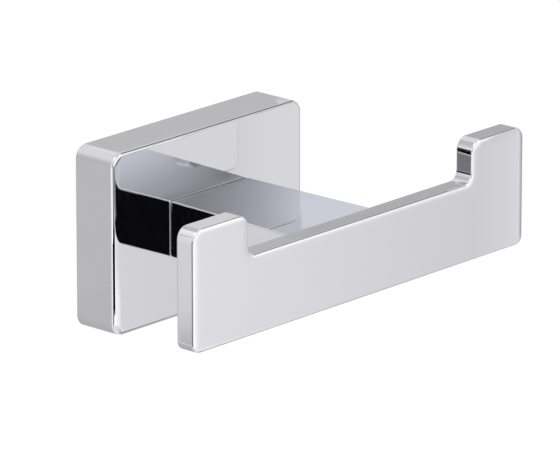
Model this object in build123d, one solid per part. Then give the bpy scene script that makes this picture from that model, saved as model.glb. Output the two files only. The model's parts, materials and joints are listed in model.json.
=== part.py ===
from build123d import *
import os
from math import sqrt

# Double wall hook: a hollow rosette, an arm and U-shaped bar cast as one, and the hidden parts that fasten them.
# Millimetres. The wall is the plane Y = 0, the hook stands out from it towards -Y, and +Z is up.
# The origin is the middle of the rosette's back. A depth is a distance out from the wall.

# Rosette: deep wall plate, open at the back
ROSETTE_WIDTH = 54.0
ROSETTE_HEIGHT = 36.8
ROSETTE_DEPTH = 10.0
ROSETTE_CORNER_RADIUS = 2.6
ROSETTE_EDGE_RADIUS = 0.6
ROSETTE_SIDE_WALL = 2.5
ROSETTE_FRONT_WALL = 3.0
CAVITY_CORNER_RADIUS = 1.5

# Arm: drafted block, wider where it runs into the bar
ARM_ROOT_WIDTH = 21.8
ARM_TIP_WIDTH = 24.3
ARM_HEIGHT = 11.4
ARM_EDGE_RADIUS = 0.3
ARM_ROOT_EDGE_RADIUS = 0.25
ARM_BAR_FILLET = 0.6

# Bar: U-shaped front plate with an upturned tab at each end
PROJECTION = 50.2
BAR_LENGTH = 95.0
BAR_THICKNESS = 4.4
BAR_SHOULDER = 2.2  # how far the bar's middle stands above and below the arm
TAB_WIDTH = 15.3
TAB_RISE = 8.4
TAB_CORNER_RADIUS = 2.5
NOTCH_CORNER_RADIUS = 2.0
FOOT_CORNER_RADIUS = 1.9
BAR_FRONT_EDGE_RADIUS = 0.4
BAR_BACK_EDGE_RADIUS = 0.3

# Countersunk screws that pull the arm against the rosette from inside
ARM_SCREW_RADIUS = 2.0
ARM_SCREW_LENGTH = 10.0
ARM_SCREW_HEAD_RADIUS = 3.75
ARM_SCREW_HEAD_RIM = 0.25
ARM_SCREW_SOCKET = 2.5  # across flats
ARM_SCREW_SOCKET_DEPTH = 1.5
ARM_SCREW_EDGE = 3.8  # from the side of the arm's root to the screw's axis
ARM_SCREW_SPARE_DEPTH = 1.5  # tapped hole beyond the screw's tip

# Wall bracket: plate inside the rosette, with upper and lower edges bevelled at 45 degrees towards the wall
BRACKET_SIDE_GAP = 4.5
BRACKET_END_GAP = 4.0  # above and below, where the lip and the boss reach in
BRACKET_FRONT_GAP = 0.6
BRACKET_LAND = 1.0
BRACKET_BEVEL = 3.2
BRACKET_CORNER_RADIUS = 2.0
WALL_HOLE_RADIUS = 2.5
WALL_HOLE_SINK_RADIUS = 4.5
WALL_HOLE_EDGE = 6.5  # from the bracket's end to the hole's axis

# Lip under the rosette's top wall, hooked behind the bracket's upper bevel
LIP_WIDTH = 24.0
LIP_BITE = 2.2
LIP_BACK_GAP = 0.8

# Cone-point set screw, in a boss on the rosette's lower wall, bearing on the bracket's lower bevel
SET_SCREW_RADIUS = 2.0
SET_SCREW_LENGTH = 6.0
SET_SCREW_POINT_RADIUS = 0.4
SET_SCREW_SOCKET = 2.0  # across flats
SET_SCREW_SOCKET_DEPTH = 2.5
SET_SCREW_BEARING = 1.0  # depth of bevel that the cone bears on
BOSS_WIDTH = 9.0
BOSS_WALL = 1.4
BOSS_GAP = 0.7

# Clearances and end breaks
BEVEL_CLEARANCE = 0.1
THREAD_CLEARANCE = 0.05
HEAD_CLEARANCE = 0.1
SCREW_HOLE_CLEARANCE = 0.25
SCREW_END_CHAMFER = 0.4
TOLERANCE = 1e-4

# Places that follow from the sizes
cavity_width = ROSETTE_WIDTH - 2 * ROSETTE_SIDE_WALL
cavity_half_height = ROSETTE_HEIGHT / 2 - ROSETTE_SIDE_WALL
cavity_depth = ROSETTE_DEPTH - ROSETTE_FRONT_WALL
inside_side_wall = ROSETTE_HEIGHT / 2 - ROSETTE_SIDE_WALL / 2
bar_back_depth = PROJECTION - BAR_THICKNESS
bar_middle_top = ARM_HEIGHT / 2 + BAR_SHOULDER
tab_top = bar_middle_top + TAB_RISE
arm_screw_x = ARM_ROOT_WIDTH / 2 - ARM_SCREW_EDGE
bracket_width = cavity_width - 2 * BRACKET_SIDE_GAP
bracket_half_height = cavity_half_height - BRACKET_END_GAP
bracket_thickness = cavity_depth - BRACKET_FRONT_GAP
bevel_front_depth = bracket_thickness - BRACKET_LAND
bevel_back_depth = bevel_front_depth - BRACKET_BEVEL
bevel_rise_clearance = BEVEL_CLEARANCE * sqrt(2)
wall_hole_x = bracket_width / 2 - WALL_HOLE_EDGE
set_screw_depth = bevel_front_depth - SET_SCREW_BEARING
boss_top = -bracket_half_height - BOSS_GAP


def facing_out(depth, x=0.0):
    """Plane parallel to the wall that faces away from it, with +X to its right and +Z up."""
    return Plane(origin=(x, -depth, 0), x_dir=(1, 0, 0), z_dir=(0, -1, 0))


def facing_wall(depth, x=0.0):
    """Plane parallel to the wall that faces it."""
    return Plane(origin=(x, -depth, 0), x_dir=(1, 0, 0), z_dir=(0, 1, 0))


def side_prism(points, width):
    """Prism of an outline seen from the side, given as (depth, height) points, centred on X = 0."""
    outline = Polygon(*[(-depth, height) for depth, height in points], align=None)
    return extrude(Plane.YZ * outline, width / 2, both=True)


def turned(points):
    """Solid turned about Z from (radius, height) points."""
    return revolve(Plane.XZ * Polygon(*points, align=None), Axis.Z)


def hex_socket(across_flats, depth):
    """Cutter for a hexagon socket that starts at Z = 0 and goes down."""
    return extrude(RegularPolygon(across_flats / 2, 6, major_radius=False), -depth)


def bar():
    """U-shaped bar: rounded corners, soft front edges and lightly broken back edges."""
    end = BAR_LENGTH / 2
    tab_inner = end - TAB_WIDTH
    outline = Polygon(
        (-end, -bar_middle_top),
        (end, -bar_middle_top),
        (end, tab_top),
        (tab_inner, tab_top),
        (tab_inner, bar_middle_top),
        (-tab_inner, bar_middle_top),
        (-tab_inner, tab_top),
        (-end, tab_top),
        align=None,
    )
    corner_rows = (
        (-bar_middle_top, FOOT_CORNER_RADIUS),
        (bar_middle_top, NOTCH_CORNER_RADIUS),
        (tab_top, TAB_CORNER_RADIUS),
    )
    for height, radius in corner_rows:
        corners = outline.vertices().filter_by(lambda v: abs(v.Y - height) < TOLERANCE)
        outline = fillet(corners, radius)
    plate = extrude(facing_out(bar_back_depth) * outline, BAR_THICKNESS)
    plate = fillet(plate.faces().sort_by(Axis.Y)[0].edges(), BAR_FRONT_EDGE_RADIUS)
    return fillet(plate.faces().sort_by(Axis.Y)[-1].edges(), BAR_BACK_EDGE_RADIUS)


def arm():
    """Drafted arm from the rosette's face to the bar's back, with rounded long edges and a broken root edge."""
    root = ARM_ROOT_WIDTH / 2
    tip = ARM_TIP_WIDTH / 2
    plan = Polygon(
        (-tip, -bar_back_depth),
        (tip, -bar_back_depth),
        (root, -ROSETTE_DEPTH),
        (-root, -ROSETTE_DEPTH),
        align=None,
    )
    block = extrude(Plane.XY * plan, ARM_HEIGHT / 2, both=True)
    long_edges = block.edges().filter_by(lambda e: abs((e @ 0).Y - (e @ 1).Y) > TOLERANCE)
    block = fillet(long_edges, ARM_EDGE_RADIUS)
    return fillet(block.faces().sort_by(Axis.Y)[-1].edges(), ARM_ROOT_EDGE_RADIUS)


def hook():
    """Arm and bar as one casting, with a fillet where they meet and two tapped holes in the arm's root."""
    body = bar() + arm()

    def on_seam(edge):
        middle = edge @ 0.5
        on_bar_back = abs(middle.Y + bar_back_depth) < TOLERANCE
        inside_arm = abs(middle.X) < ARM_TIP_WIDTH / 2 + TOLERANCE and abs(middle.Z) < ARM_HEIGHT / 2 + TOLERANCE
        return on_bar_back and inside_arm

    body = fillet(body.edges().filter_by(on_seam), ARM_BAR_FILLET)
    tapped_radius = ARM_SCREW_RADIUS + THREAD_CLEARANCE
    tapped_depth = ARM_SCREW_LENGTH - ROSETTE_FRONT_WALL + ARM_SCREW_SPARE_DEPTH
    for x in (-arm_screw_x, arm_screw_x):
        body -= extrude(facing_out(ROSETTE_DEPTH, x) * Circle(tapped_radius), tapped_depth)
    return body


def hook_lip():
    """Lip under the rosette's top wall that hooks down behind the bracket's upper bevel."""
    nose = bracket_half_height - LIP_BITE
    nose_front_depth = bevel_front_depth - LIP_BITE - bevel_rise_clearance
    points = (
        (LIP_BACK_GAP, inside_side_wall),
        (LIP_BACK_GAP, nose),
        (nose_front_depth, nose),
        (bevel_front_depth, bracket_half_height + bevel_rise_clearance),
        (bevel_front_depth, inside_side_wall),
    )
    return side_prism(points, LIP_WIDTH)


def set_screw_boss():
    """Block on the rosette's lower wall that gives the set screw its length of thread."""
    back = set_screw_depth - SET_SCREW_RADIUS - BOSS_WALL
    front = cavity_depth + ROSETTE_FRONT_WALL / 2
    points = (
        (back, -inside_side_wall),
        (front, -inside_side_wall),
        (front, boss_top),
        (back, boss_top),
    )
    return side_prism(points, BOSS_WIDTH)


def arm_screw_hole():
    """Cutter for one sunk clearance hole in the rosette's front wall, with the head's face at Z = 0."""
    radius = ARM_SCREW_RADIUS + SCREW_HOLE_CLEARANCE
    sink_radius = ARM_SCREW_HEAD_RADIUS + HEAD_CLEARANCE
    points = (
        (0, 0),
        (sink_radius, 0),
        (sink_radius, -ARM_SCREW_HEAD_RIM),
        (radius, -ARM_SCREW_HEAD_RIM - (sink_radius - radius)),
        (radius, -ROSETTE_FRONT_WALL),
        (0, -ROSETTE_FRONT_WALL),
    )
    return turned(points)


def rosette():
    """Hollow wall plate with its lip, boss, set screw hole and the arm screws' sunk holes."""
    outline = RectangleRounded(ROSETTE_WIDTH, ROSETTE_HEIGHT, ROSETTE_CORNER_RADIUS)
    blank = extrude(facing_out(0) * outline, ROSETTE_DEPTH)
    blank = fillet(blank.faces().sort_by(Axis.Y)[0].edges(), ROSETTE_EDGE_RADIUS)
    opening = RectangleRounded(cavity_width, 2 * cavity_half_height, CAVITY_CORNER_RADIUS)
    shell = blank - extrude(facing_out(0) * opening, cavity_depth)
    shell = shell + hook_lip() + set_screw_boss()
    underside = Plane.XY.offset(-ROSETTE_HEIGHT / 2)
    hole = Pos(0, -set_screw_depth) * Circle(SET_SCREW_RADIUS + THREAD_CLEARANCE)
    shell -= extrude(underside * hole, ROSETTE_HEIGHT / 2 + boss_top)
    for x in (-arm_screw_x, arm_screw_x):
        shell -= facing_wall(cavity_depth, x) * arm_screw_hole()
    return shell


def arm_screw():
    """Countersunk socket screw with its head's face at Z = 0 and its shank going down."""
    points = (
        (0, 0),
        (ARM_SCREW_HEAD_RADIUS, 0),
        (ARM_SCREW_HEAD_RADIUS, -ARM_SCREW_HEAD_RIM),
        (ARM_SCREW_RADIUS, -ARM_SCREW_HEAD_RIM - (ARM_SCREW_HEAD_RADIUS - ARM_SCREW_RADIUS)),
        (ARM_SCREW_RADIUS, SCREW_END_CHAMFER - ARM_SCREW_LENGTH),
        (ARM_SCREW_RADIUS - SCREW_END_CHAMFER, -ARM_SCREW_LENGTH),
        (0, -ARM_SCREW_LENGTH),
    )
    return turned(points) - hex_socket(ARM_SCREW_SOCKET, ARM_SCREW_SOCKET_DEPTH)


def arm_screws():
    """The two arm screws in their seats, heads inside the rosette."""
    screw = arm_screw()
    return Compound([facing_wall(cavity_depth, x) * screw for x in (-arm_screw_x, arm_screw_x)])


def set_screw():
    """Grub screw standing under the bracket, its cone just off the lower bevel and its socket downwards."""
    points = (
        (0, -SET_SCREW_POINT_RADIUS),
        (SET_SCREW_POINT_RADIUS, -SET_SCREW_POINT_RADIUS),
        (SET_SCREW_RADIUS, -SET_SCREW_RADIUS),
        (SET_SCREW_RADIUS, SCREW_END_CHAMFER - SET_SCREW_LENGTH),
        (SET_SCREW_RADIUS - SCREW_END_CHAMFER, -SET_SCREW_LENGTH),
        (0, -SET_SCREW_LENGTH),
    )
    socket = Pos(0, 0, -SET_SCREW_LENGTH) * hex_socket(SET_SCREW_SOCKET, -SET_SCREW_SOCKET_DEPTH)
    cone_apex = -bracket_half_height + SET_SCREW_BEARING - bevel_rise_clearance
    return Pos(0, -set_screw_depth, cone_apex) * (turned(points) - socket)


def wall_hole():
    """Cutter for one countersunk wall screw hole, with the bracket's front face at Z = 0."""
    points = (
        (0, 0),
        (WALL_HOLE_SINK_RADIUS, 0),
        (WALL_HOLE_RADIUS, -(WALL_HOLE_SINK_RADIUS - WALL_HOLE_RADIUS)),
        (WALL_HOLE_RADIUS, -bracket_thickness),
        (0, -bracket_thickness),
    )
    return turned(points)


def wall_bracket():
    """Dovetail plate for the wall, with rounded corners and two countersunk screw holes."""
    heel = bracket_half_height - BRACKET_BEVEL
    upper = (
        (0, heel),
        (bevel_back_depth, heel),
        (bevel_front_depth, bracket_half_height),
        (bracket_thickness, bracket_half_height),
    )
    lower = tuple((depth, -height) for depth, height in reversed(upper))
    outline = RectangleRounded(bracket_width, 2 * bracket_half_height, BRACKET_CORNER_RADIUS)
    plate = side_prism(upper + lower, bracket_width) & extrude(facing_out(0) * outline, bracket_thickness)
    for x in (-wall_hole_x, wall_hole_x):
        plate -= facing_out(bracket_thickness, x) * wall_hole()
    return plate


PIECES = (rosette, hook, wall_bracket, arm_screws, set_screw)

os.makedirs("parts", exist_ok=True)
for piece in PIECES:
    export_step(piece(), f"parts/{piece.__name__}.step")
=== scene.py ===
"""Looks of a chrome-plated double wall hook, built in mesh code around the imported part, in its own frame.

Sizes are in millimetres and become metres where points enter a mesh. The wall is the plane Y = 0, the hook
stands out from it towards -Y, and +Z is up.
"""

import json
import logging
import math
from dataclasses import dataclass
from enum import Enum
from typing import Any, Callable, Iterable, Sequence

import bmesh
import bpy
from mathutils import Matrix, Vector

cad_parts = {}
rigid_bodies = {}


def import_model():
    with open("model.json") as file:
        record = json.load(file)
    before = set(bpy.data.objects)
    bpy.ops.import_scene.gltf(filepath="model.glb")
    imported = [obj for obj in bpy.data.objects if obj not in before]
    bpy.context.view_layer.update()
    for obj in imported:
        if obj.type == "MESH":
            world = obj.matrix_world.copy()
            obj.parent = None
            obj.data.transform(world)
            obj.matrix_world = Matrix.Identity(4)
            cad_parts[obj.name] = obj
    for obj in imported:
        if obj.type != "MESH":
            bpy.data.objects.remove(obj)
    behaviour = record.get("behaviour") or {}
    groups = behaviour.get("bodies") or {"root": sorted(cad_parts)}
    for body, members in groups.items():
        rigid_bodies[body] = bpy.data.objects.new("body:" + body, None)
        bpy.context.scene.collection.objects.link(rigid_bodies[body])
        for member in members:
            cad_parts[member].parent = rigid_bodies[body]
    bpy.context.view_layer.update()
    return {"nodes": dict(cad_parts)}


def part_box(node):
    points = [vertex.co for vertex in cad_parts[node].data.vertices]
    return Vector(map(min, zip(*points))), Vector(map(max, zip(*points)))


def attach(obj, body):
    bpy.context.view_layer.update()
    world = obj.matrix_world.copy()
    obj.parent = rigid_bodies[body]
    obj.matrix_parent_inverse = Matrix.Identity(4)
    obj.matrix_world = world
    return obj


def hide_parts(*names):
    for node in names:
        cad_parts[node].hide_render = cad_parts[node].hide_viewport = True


LOG = logging.getLogger("double_wall_hook")
MM = 0.001
CREASE_ANGLE = math.radians(32)
SHARPEST_CORNER = 0.25  # radius that an outline's corners keep when it is drawn in
NUDGE = 0.05  # step that shows which way an outline faces
ROLL_STEPS = 10  # steps over an edge that buffing has drawn out
NOISE_SPAN = (0.3, 0.7)  # levels that most of a noise pattern lies between
SQUARE = ((-1, -1), (1, -1), (1, 1), (-1, 1))
WHITE = "#FFFFFF"
BODY = "root"

Ring = list[bmesh.types.BMVert]
Point = tuple[float, float]


class Node(Enum):
    """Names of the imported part's nodes."""

    HOOK = "hook"
    ROSETTE = "rosette"
    BRACKET = "wall_bracket"
    ARM_SCREWS = "arm_screws"
    SET_SCREW = "set_screw"


class Slot(Enum):
    """Material slots that the record names."""

    HOOK = "hook_chrome"
    ROSETTE = "rosette_chrome"
    BRACKET = "bracket_zinc"
    ARM_SCREWS = "screw_steel"
    SET_SCREW = "set_screw_steel"


class Carving(Enum):
    """How one solid is worked into another."""

    ADD = "UNION"
    CUT = "DIFFERENCE"


def linear(code: str) -> tuple[float, float, float, float]:
    """Turns an sRGB hex colour into linear values.

    Args:
        code: colour such as "#D6D5DA".

    Returns:
        Red, green, blue and an alpha of 1.
    """
    channels = [int(code[i : i + 2], 16) / 255 for i in (1, 3, 5)]
    lit = [c / 12.92 if c <= 0.04045 else ((c + 0.055) / 1.055) ** 2.4 for c in channels]
    return lit[0], lit[1], lit[2], 1.0


def add_node(
    tree: bpy.types.NodeTree,
    kind: str,
    inputs: dict[Any, Any] | None = None,
    stops: Sequence[tuple[float, tuple[float, ...]]] = (),
    **settings: Any,
) -> bpy.types.Node:
    """Adds one node with its settings, and fills or links its inputs.

    Args:
        tree: node tree that gets the node.
        kind: Blender's name for the node type.
        inputs: values or output sockets by input name or number.
        stops: positions and colours, for a node that has a colour ramp.
        settings: the node's own properties.

    Returns:
        The new node.
    """
    node = tree.nodes.new(kind)
    for name, value in settings.items():
        setattr(node, name, value)
    for name, value in (inputs or {}).items():
        if isinstance(value, bpy.types.NodeSocket):
            tree.links.new(value, node.inputs[name])
        else:
            node.inputs[name].default_value = value
    for number, (position, colour) in enumerate(stops):
        elements = node.color_ramp.elements
        stop = elements[number] if number < len(elements) else elements.new(position)
        stop.position = position
        stop.color = colour
    return node


def new_material(name: str) -> tuple[bpy.types.Material, bpy.types.NodeTree]:
    """Makes an empty node material.

    Args:
        name: the material's name.

    Returns:
        The material and its node tree.
    """
    material = bpy.data.materials.new(name)
    material.use_nodes = True
    material.node_tree.nodes.clear()
    return material, material.node_tree


def per_metre(size_mm: float) -> float:
    """Texture scale that makes one feature as large as a size in millimetres."""
    return 1 / (size_mm * MM)


# Chromium on a buffed casting: a slightly cool mirror that bends straight lines a little, with faint haze
@dataclass(frozen=True)
class BrightChrome:
    """Bright chromium plate over copper and nickel on a buffed zinc casting."""

    name: str = "bright_chrome_plate_on_buffed_zinc"
    colour: str = "#D6D5DA"
    smooth: float = 0.02
    hazed: float = 0.06
    haze_span: Point = (0.35, 0.75)  # levels of its pattern between which the haze sets in
    haze_mm: float = 5.0
    swell_mm: float = 13.0  # slow swell that a buffing wheel leaves on a flat face
    swell_height_mm: float = 0.002
    peel_mm: float = 0.9  # fine orange peel of the plate
    peel_height_mm: float = 0.00006
    octaves: tuple[float, float, float] = (6.0, 1.0, 2.0)  # detail of the haze, the swell and the peel

    def material(self) -> bpy.types.Material:
        """Builds the material.

        Returns:
            A mirror that is a little cool, with a slow swell, a fine peel and faint patches of haze.
        """
        material, tree = new_material(self.name)
        place = add_node(tree, "ShaderNodeTexCoord").outputs["Object"]
        patterns = []
        for size_mm, detail in zip((self.haze_mm, self.swell_mm, self.peel_mm), self.octaves):
            inputs = {"Vector": place, "Scale": per_metre(size_mm), "Detail": detail}
            patterns.append(add_node(tree, "ShaderNodeTexNoise", inputs).outputs["Fac"])
        haze, swell, peel = patterns
        clear, full = self.haze_span
        levels = {"From Min": clear, "From Max": full, "To Min": self.smooth, "To Max": self.hazed}
        gloss = add_node(tree, "ShaderNodeMapRange", {"Value": haze, **levels})
        # The swell bends straight reflections a little, as on any buffed casting
        slow = add_node(tree, "ShaderNodeBump", {"Height": swell, "Distance": self.swell_height_mm * MM})
        relief = {"Height": peel, "Distance": self.peel_height_mm * MM, "Normal": slow.outputs["Normal"]}
        fine = add_node(tree, "ShaderNodeBump", relief)
        shader = add_node(
            tree,
            "ShaderNodeBsdfPrincipled",
            {
                "Base Color": linear(self.colour),
                "Metallic": 1.0,
                "Roughness": gloss.outputs["Result"],
                "Normal": fine.outputs["Normal"],
            },
        )
        add_node(tree, "ShaderNodeOutputMaterial", {"Surface": shader.outputs["BSDF"]})
        return material


@dataclass(frozen=True)
class GrainyMetal:
    """Unpolished metal: a granular skin with lighter and darker patches."""

    name: str
    colour: str
    dark: str
    roughness: Point
    grain_mm: float
    grain_height_mm: float
    patch_mm: float
    patch_stretch: tuple[float, float, float] = (1.0, 1.0, 1.0)
    octaves: Point = (5.0, 3.0)  # detail of the patches and of the grain

    def material(self) -> bpy.types.Material:
        """Builds the material.

        Returns:
            A metal with clouded colour and roughness, and a fine grain that breaks up its gloss.
        """
        material, tree = new_material(self.name)
        place = add_node(tree, "ShaderNodeTexCoord").outputs["Object"]
        stretched = add_node(tree, "ShaderNodeMapping", {"Vector": place, "Scale": self.patch_stretch})
        layers = ((stretched.outputs["Vector"], self.patch_mm), (place, self.grain_mm))
        patterns = []
        for (vector, size_mm), detail in zip(layers, self.octaves):
            inputs = {"Vector": vector, "Scale": per_metre(size_mm), "Detail": detail}
            patterns.append(add_node(tree, "ShaderNodeTexNoise", inputs).outputs["Fac"])
        patches, grain = patterns
        low, high = NOISE_SPAN
        shades = ((low, linear(self.dark)), (high, linear(self.colour)))
        tone = add_node(tree, "ShaderNodeValToRGB", {"Fac": patches}, stops=shades)
        sleek, rough = self.roughness
        levels = {"From Min": low, "From Max": high, "To Min": sleek, "To Max": rough}
        gloss = add_node(tree, "ShaderNodeMapRange", {"Value": grain, **levels})
        relief = add_node(tree, "ShaderNodeBump", {"Height": grain, "Distance": self.grain_height_mm * MM})
        shader = add_node(
            tree,
            "ShaderNodeBsdfPrincipled",
            {
                "Base Color": tone.outputs["Color"],
                "Metallic": 1.0,
                "Roughness": gloss.outputs["Result"],
                "Normal": relief.outputs["Normal"],
            },
        )
        add_node(tree, "ShaderNodeOutputMaterial", {"Surface": shader.outputs["BSDF"]})
        return material


# Chromium thrown thinly into the rosette's hollow, over the casting's own skin: grey and dull
HOLLOW_PLATE = GrainyMetal(
    "thin_chrome_on_cast_skin", "#B4B5BA", "#8F9095", roughness=(0.24, 0.42),
    grain_mm=0.5, grain_height_mm=0.006, patch_mm=6.0,
)
# Die-cast zinc as it leaves the mould: a soft grey with flow marks along the plate
CAST_ZINC = GrainyMetal(
    "die_cast_zinc", "#A7A9AC", "#86888B", roughness=(0.36, 0.55),
    grain_mm=0.35, grain_height_mm=0.008, patch_mm=5.0, patch_stretch=(0.4, 1.0, 1.0),
)
# Bright zinc plate on rolled steel: a cool, slightly milky shine
PLATED_STEEL = GrainyMetal(
    "zinc_plated_steel", "#B9BEC6", "#9BA0A8", roughness=(0.2, 0.34),
    grain_mm=0.25, grain_height_mm=0.002, patch_mm=1.6,
)
# Turned stainless steel: warm grey with a soft sheen
STAINLESS_STEEL = GrainyMetal(
    "turned_stainless_steel", "#B6B3AE", "#98958F", roughness=(0.18, 0.3),
    grain_mm=0.2, grain_height_mm=0.0015, patch_mm=1.2,
)


@dataclass(frozen=True)
class Corner:
    """Corner of an outline, seen from the front, with the radius that rounds it."""

    x: float
    z: float
    radius: float


class Outline:
    """Closed outline in a plane parallel to the wall, made of straight runs and rounded corners."""

    def __init__(self, corners: Sequence[Corner], arc_steps: int = 10, run_step: float = 5.0) -> None:
        """Keeps the corners and fixes how many points each run and corner gets.

        Args:
            corners: corners in anticlockwise order, as seen with +X to the right and +Z up.
            arc_steps: number of steps round each corner.
            run_step: longest step along a straight run.
        """
        self.corners = list(corners)
        self.arc_steps = arc_steps
        self.run_steps: list[int] = []
        for here, after in zip(self.corners, self.corners[1:] + self.corners[:1]):
            run = math.hypot(after.x - here.x, after.z - here.z)
            self.run_steps.append(max(1, round(run / run_step)))

    @classmethod
    def rectangle(cls, half_width: float, half_height: float, radius: float, **steps: Any) -> "Outline":
        """Rectangle centred on the origin, with equal corners."""
        return cls([Corner(x * half_width, z * half_height, radius) for x, z in SQUARE], **steps)

    def arcs(self, inset: float) -> list[list[Vector]]:
        """Points round each corner.

        Args:
            inset: how far the outline is drawn in; a negative inset lets it out.

        Returns:
            One list of (x, z) points for each corner.
        """
        found = []
        count = len(self.corners)
        for i, corner in enumerate(self.corners):
            here = Vector((corner.x, corner.z))
            before = Vector((self.corners[i - 1].x, self.corners[i - 1].z))
            after = Vector((self.corners[(i + 1) % count].x, self.corners[(i + 1) % count].z))
            arriving = (here - before).normalized()
            leaving = (after - here).normalized()
            inward_in = Vector((-arriving.y, arriving.x))
            inward_out = Vector((-leaving.y, leaving.x))
            outer = 1 if arriving.x * leaving.y - arriving.y * leaving.x > 0 else -1
            slant = (inward_in + inward_out) / (1 + inward_in.dot(inward_out))
            radius = max(corner.radius - outer * inset, SHARPEST_CORNER)
            centre = here + slant * (inset + outer * radius)
            start = -outer * inward_in
            sweep = outer * math.acos(max(-1.0, min(1.0, inward_in.dot(inward_out))))
            points = []
            for step in range(self.arc_steps + 1):
                turn = sweep * step / self.arc_steps
                across = start.x * math.cos(turn) - start.y * math.sin(turn)
                upwards = start.x * math.sin(turn) + start.y * math.cos(turn)
                points.append(centre + Vector((across, upwards)) * radius)
            found.append(points)
        return found

    def at(self, depth: float, inset: float = 0.0) -> list[Vector]:
        """Points of the outline at a distance out from the wall.

        Args:
            depth: distance out from the wall.
            inset: how far the outline is drawn in.

        Returns:
            Points in the part's frame, always as many and in the same order.
        """
        arcs = self.arcs(inset)
        flat = []
        for i, arc in enumerate(arcs):
            flat.extend(arc)
            target = arcs[(i + 1) % len(arcs)][0]
            for step in range(1, self.run_steps[i]):
                flat.append(arc[-1].lerp(target, step / self.run_steps[i]))
        return [Vector((p.x, -depth, p.y)) for p in flat]

    def outward(self) -> list[Vector]:
        """Direction straight out of the outline at each of its points."""
        return [(out - on).normalized() for out, on in zip(self.at(0, -NUDGE), self.at(0))]


def edge_profile(
    radius: float, steps: int = 6, roll: float = 0.0, lean: float = 0.0, stretch: float = 1.0
) -> list[Point]:
    """Section of a rounded edge that starts along a face and ends along a side.

    Args:
        radius: radius of the round.
        steps: number of steps along the round.
        roll: how far buffing has drawn the edge out over the face.
        lean: degrees that the drawn-out face has turned by where the round starts.
        stretch: how many times longer the round is along the side than along the face.

    Returns:
        Pairs of inset from the side and drop from the face, from the face to the side.
    """
    pairs = []
    slope = math.radians(lean)
    start = radius * (1 - math.sin(slope))
    roll_steps = ROLL_STEPS if roll else 0
    for step in range(roll_steps):
        share = step / roll_steps
        pairs.append((start + roll * (1 - share), slope * roll * share**3 / 3))
    sunk = slope * roll / 3
    for step in range(steps + 1):
        turn = slope + (math.pi / 2 - slope) * step / steps
        drop = sunk + stretch * radius * (math.cos(slope) - math.cos(turn))
        pairs.append((radius * (1 - math.sin(turn)), drop))
    return pairs


def circle(x: float, depth: float, radius: float, steps: int = 40) -> list[Vector]:
    """Points of a circle in a plane parallel to the wall, level with the origin."""
    turns = [2 * math.pi * step / steps for step in range(steps)]
    return [Vector((x + radius * math.cos(t), -depth, radius * math.sin(t))) for t in turns]


def add_object(name: str, data: bpy.types.ID) -> bpy.types.Object:
    """Makes an object of its data.

    Args:
        name: the object's name.
        data: its mesh, lamp or camera.

    Returns:
        The object, linked into the scene.
    """
    obj = bpy.data.objects.new(name, data)
    bpy.context.scene.collection.objects.link(obj)
    return obj


class SolidMesh:
    """One closed mesh, put together from rings of points in millimetres."""

    def __init__(self, place: Matrix | None = None) -> None:
        """Starts an empty mesh.

        Args:
            place: where the points' own frame lies in the part's frame.
        """
        self.bm = bmesh.new()
        self.place = place or Matrix.Identity(4)

    def ring(self, points: Iterable[Vector]) -> Ring:
        """Adds a ring's points and returns them."""
        return [self.bm.verts.new((self.place @ point) * MM) for point in points]

    def bridge(self, rings: Sequence[Ring]) -> None:
        """Joins rings with a skin of quads.

        Args:
            rings: rings of equal count, in order.
        """
        for first, second in zip(rings, rings[1:]):
            for i in range(len(first)):
                j = (i + 1) % len(first)
                self.bm.faces.new((first[i], first[j], second[j], second[i]))

    def prism(self, ends: Sequence[Ring]) -> None:
        """Joins two rings and closes each with one flat face.

        Args:
            ends: the two rings.
        """
        self.bridge(ends)
        for end in ends:
            self.bm.faces.new(end)

    def sheet(self, *loops: Ring) -> None:
        """Fills a flat face.

        Args:
            loops: the face's outline, and then the holes in it.
        """
        edges = []
        for loop in loops:
            for first, second in zip(loop, loop[1:] + loop[:1]):
                edges.append(self.bm.edges.get((first, second)) or self.bm.edges.new((first, second)))
        bmesh.ops.triangle_fill(self.bm, edges=edges, use_beauty=True, use_dissolve=False)

    def point(self, ring: Ring, tip: Vector) -> None:
        """Closes a ring with a cone.

        Args:
            ring: the ring.
            tip: the cone's point.
        """
        apex = self.bm.verts.new((self.place @ tip) * MM)
        for first, second in zip(ring, ring[1:] + ring[:1]):
            self.bm.faces.new((first, second, apex))

    def bores(self, offset: float, stations: Sequence[Point]) -> tuple[list[Ring], list[Ring]]:
        """Adds the walls of two round holes, one on each side of the middle.

        Args:
            offset: distance of each hole's axis from the middle.
            stations: pairs of depth and radius along a hole.

        Returns:
            Both holes' rings at the first station, and both at the last.
        """
        first_mouths, last_mouths = [], []
        for x in (-offset, offset):
            rings = [self.ring(circle(x, depth, radius)) for depth, radius in stations]
            self.bridge(rings)
            first_mouths.append(rings[0])
            last_mouths.append(rings[-1])
        return first_mouths, last_mouths

    def bevel(self, width: float) -> None:
        """Rounds every edge by a width in millimetres."""
        shape = {"offset": width * MM, "segments": 3, "profile": 0.5}
        bmesh.ops.bevel(self.bm, geom=self.bm.edges[:], affect="EDGES", clamp_overlap=True, **shape)

    def to_object(self, name: str, material: bpy.types.Material | None = None) -> bpy.types.Object:
        """Turns the mesh into an object.

        Args:
            name: the object's name.
            material: the object's first material.

        Returns:
            The object, linked into the scene.
        """
        bmesh.ops.recalc_face_normals(self.bm, faces=self.bm.faces[:])
        mesh = bpy.data.meshes.new(name)
        self.bm.to_mesh(mesh)
        self.bm.free()
        if material:
            mesh.materials.append(material)
        return add_object(name, mesh)


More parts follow.
